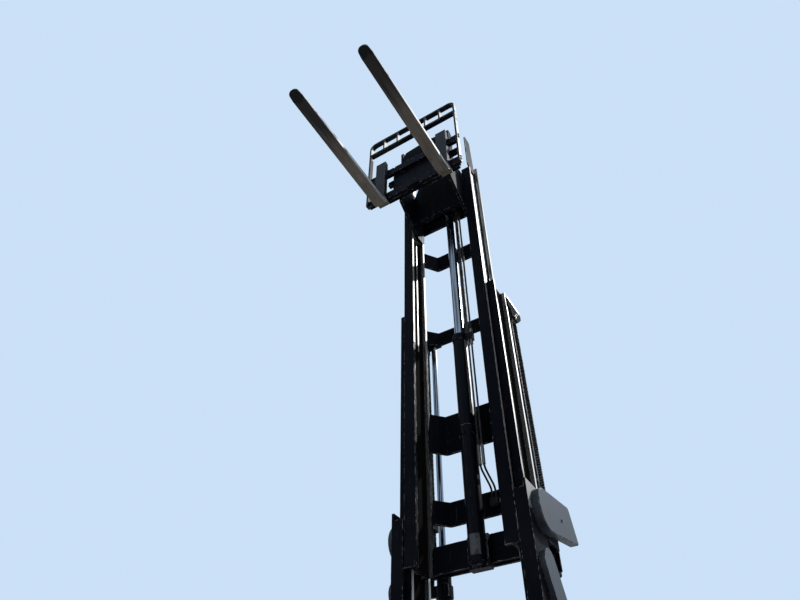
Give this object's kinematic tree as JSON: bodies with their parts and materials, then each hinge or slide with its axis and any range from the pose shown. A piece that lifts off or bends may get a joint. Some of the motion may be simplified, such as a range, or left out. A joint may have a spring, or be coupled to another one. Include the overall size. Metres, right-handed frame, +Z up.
{
  "type": "three-stage forklift mast with fork carriage",
  "caption": "Raised three-stage lift mast of an electric forklift, with lift cylinders, leaf chains, free-lift cylinder, side-shifting fork carriage, load backrest and forks.",
  "frame": {"origin": "on the foot pivot's axis, midway between its two bosses", "axes": "+X to the right across the mast, -Y out along the forks, +Z up along the uprights"},
  "size_m": [0.942, 2.0014, 6.684],
  "materials": {
    "black_paint": "satin black paint with scuffs and dust",
    "fork_steel": "worn black paint over rusty forged steel",
    "chrome_rod": "hard chrome with an oil film",
    "chain_steel": "oiled leaf chain",
    "bearing_steel": "rolled bright running faces with grease",
    "hose_rubber": "matt rubber"
  },
  "bodies": {
    "outer_stage": {"outer_upright_left": "black_paint", "outer_upright_right": "black_paint", "lift_tube_left": "black_paint", "lift_tube_right": "black_paint", "tube_clamp_left": "black_paint", "tube_clamp_right": "black_paint", "shoulder_cover_left": "black_paint", "shoulder_cover_right": "black_paint", "outer_top_yoke": "black_paint", "outer_middle_yoke": "black_paint", "outer_foot_yoke": "black_paint", "pivot_bosses": "black_paint", "tilt_lugs": "black_paint", "cylinder_seats": "black_paint", "outer_top_rollers": "bearing_steel", "stay_bars": "black_paint", "lift_chain_rear_left": "chain_steel", "lift_chain_rear_right": "chain_steel"},
    "middle_stage": {"mid_upright_left": "black_paint", "mid_upright_right": "black_paint", "mid_top_tie": "black_paint", "mid_foot_tie": "black_paint", "mid_foot_rollers": "bearing_steel", "mid_top_rollers": "bearing_steel", "lift_sheaves": "bearing_steel", "crosshead_left": "black_paint", "crosshead_right": "black_paint", "lift_rod_left": "chrome_rod", "lift_rod_right": "chrome_rod", "lift_chain_wrap_left": "chain_steel", "lift_chain_wrap_right": "chain_steel", "lift_chain_front_left": "chain_steel", "lift_chain_front_right": "chain_steel"},
    "inner_stage": {"inner_upright_left": "black_paint", "inner_upright_right": "black_paint", "inner_top_tie": "black_paint", "inner_upper_tie": "black_paint", "inner_deep_plate": "black_paint", "inner_lower_tie": "black_paint", "inner_foot_tie": "black_paint", "inner_foot_rollers": "bearing_steel", "inner_chain_arms": "black_paint", "free_lift_tube": "black_paint", "free_chain_rear": "chain_steel", "mast_hoses": "hose_rubber"},
    "free_lift_ram": {"free_lift_rod": "chrome_rod", "free_lift_crosshead": "black_paint", "free_lift_sheaves": "bearing_steel", "free_chain_wrap": "chain_steel", "free_chain_front": "chain_steel"},
    "carriage": {"carriage_plate_left": "black_paint", "carriage_plate_right": "black_paint", "carriage_rollers": "bearing_steel", "carriage_upper_bar": "black_paint", "carriage_lower_bar": "black_paint", "carriage_cross_tube": "black_paint"},
    "side_shift": {"side_shift_frame": "black_paint", "load_backrest": "black_paint"},
    "fork_left": {"fork_left": "fork_steel"},
    "fork_right": {"fork_right": "fork_steel"}
  },
  "joints": [
    {"name": "mast_lift", "type": "slide", "parent": "outer_stage", "child": "middle_stage", "axis": [0, 0, 1], "range_m": [-1.45, 1.1], "deforming": ["lift_chain_rear_left", "lift_chain_rear_right"]},
    {"name": "inner_lift", "type": "slide", "parent": "middle_stage", "child": "inner_stage", "axis": [0, 0, 1], "range_m": [-1.45, 1.1], "deforming": ["lift_chain_front_left", "lift_chain_front_right"]},
    {"name": "free_lift", "type": "slide", "parent": "inner_stage", "child": "free_lift_ram", "axis": [0, 0, 1], "range_m": [-1.36, 0], "deforming": ["free_chain_rear"]},
    {"name": "carriage_lift", "type": "slide", "parent": "free_lift_ram", "child": "carriage", "axis": [0, 0, 1], "range_m": [-1.36, 0], "deforming": ["free_chain_front"]},
    {"name": "side_shift", "type": "slide", "parent": "carriage", "child": "side_shift", "axis": [1, 0, 0], "range_m": [-0.035, 0.165]},
    {"name": "fork_left_slide", "type": "slide", "parent": "side_shift", "child": "fork_left", "axis": [1, 0, 0], "range_m": [-0.055, 0.12]},
    {"name": "fork_right_slide", "type": "slide", "parent": "side_shift", "child": "fork_right", "axis": [1, 0, 0], "range_m": [-0.12, 0.055]}
  ],
  "couplings": [
    {"joint": "inner_lift", "follows": "mast_lift", "ratio": 1},
    {"joint": "carriage_lift", "follows": "free_lift", "ratio": 1}
  ]
}
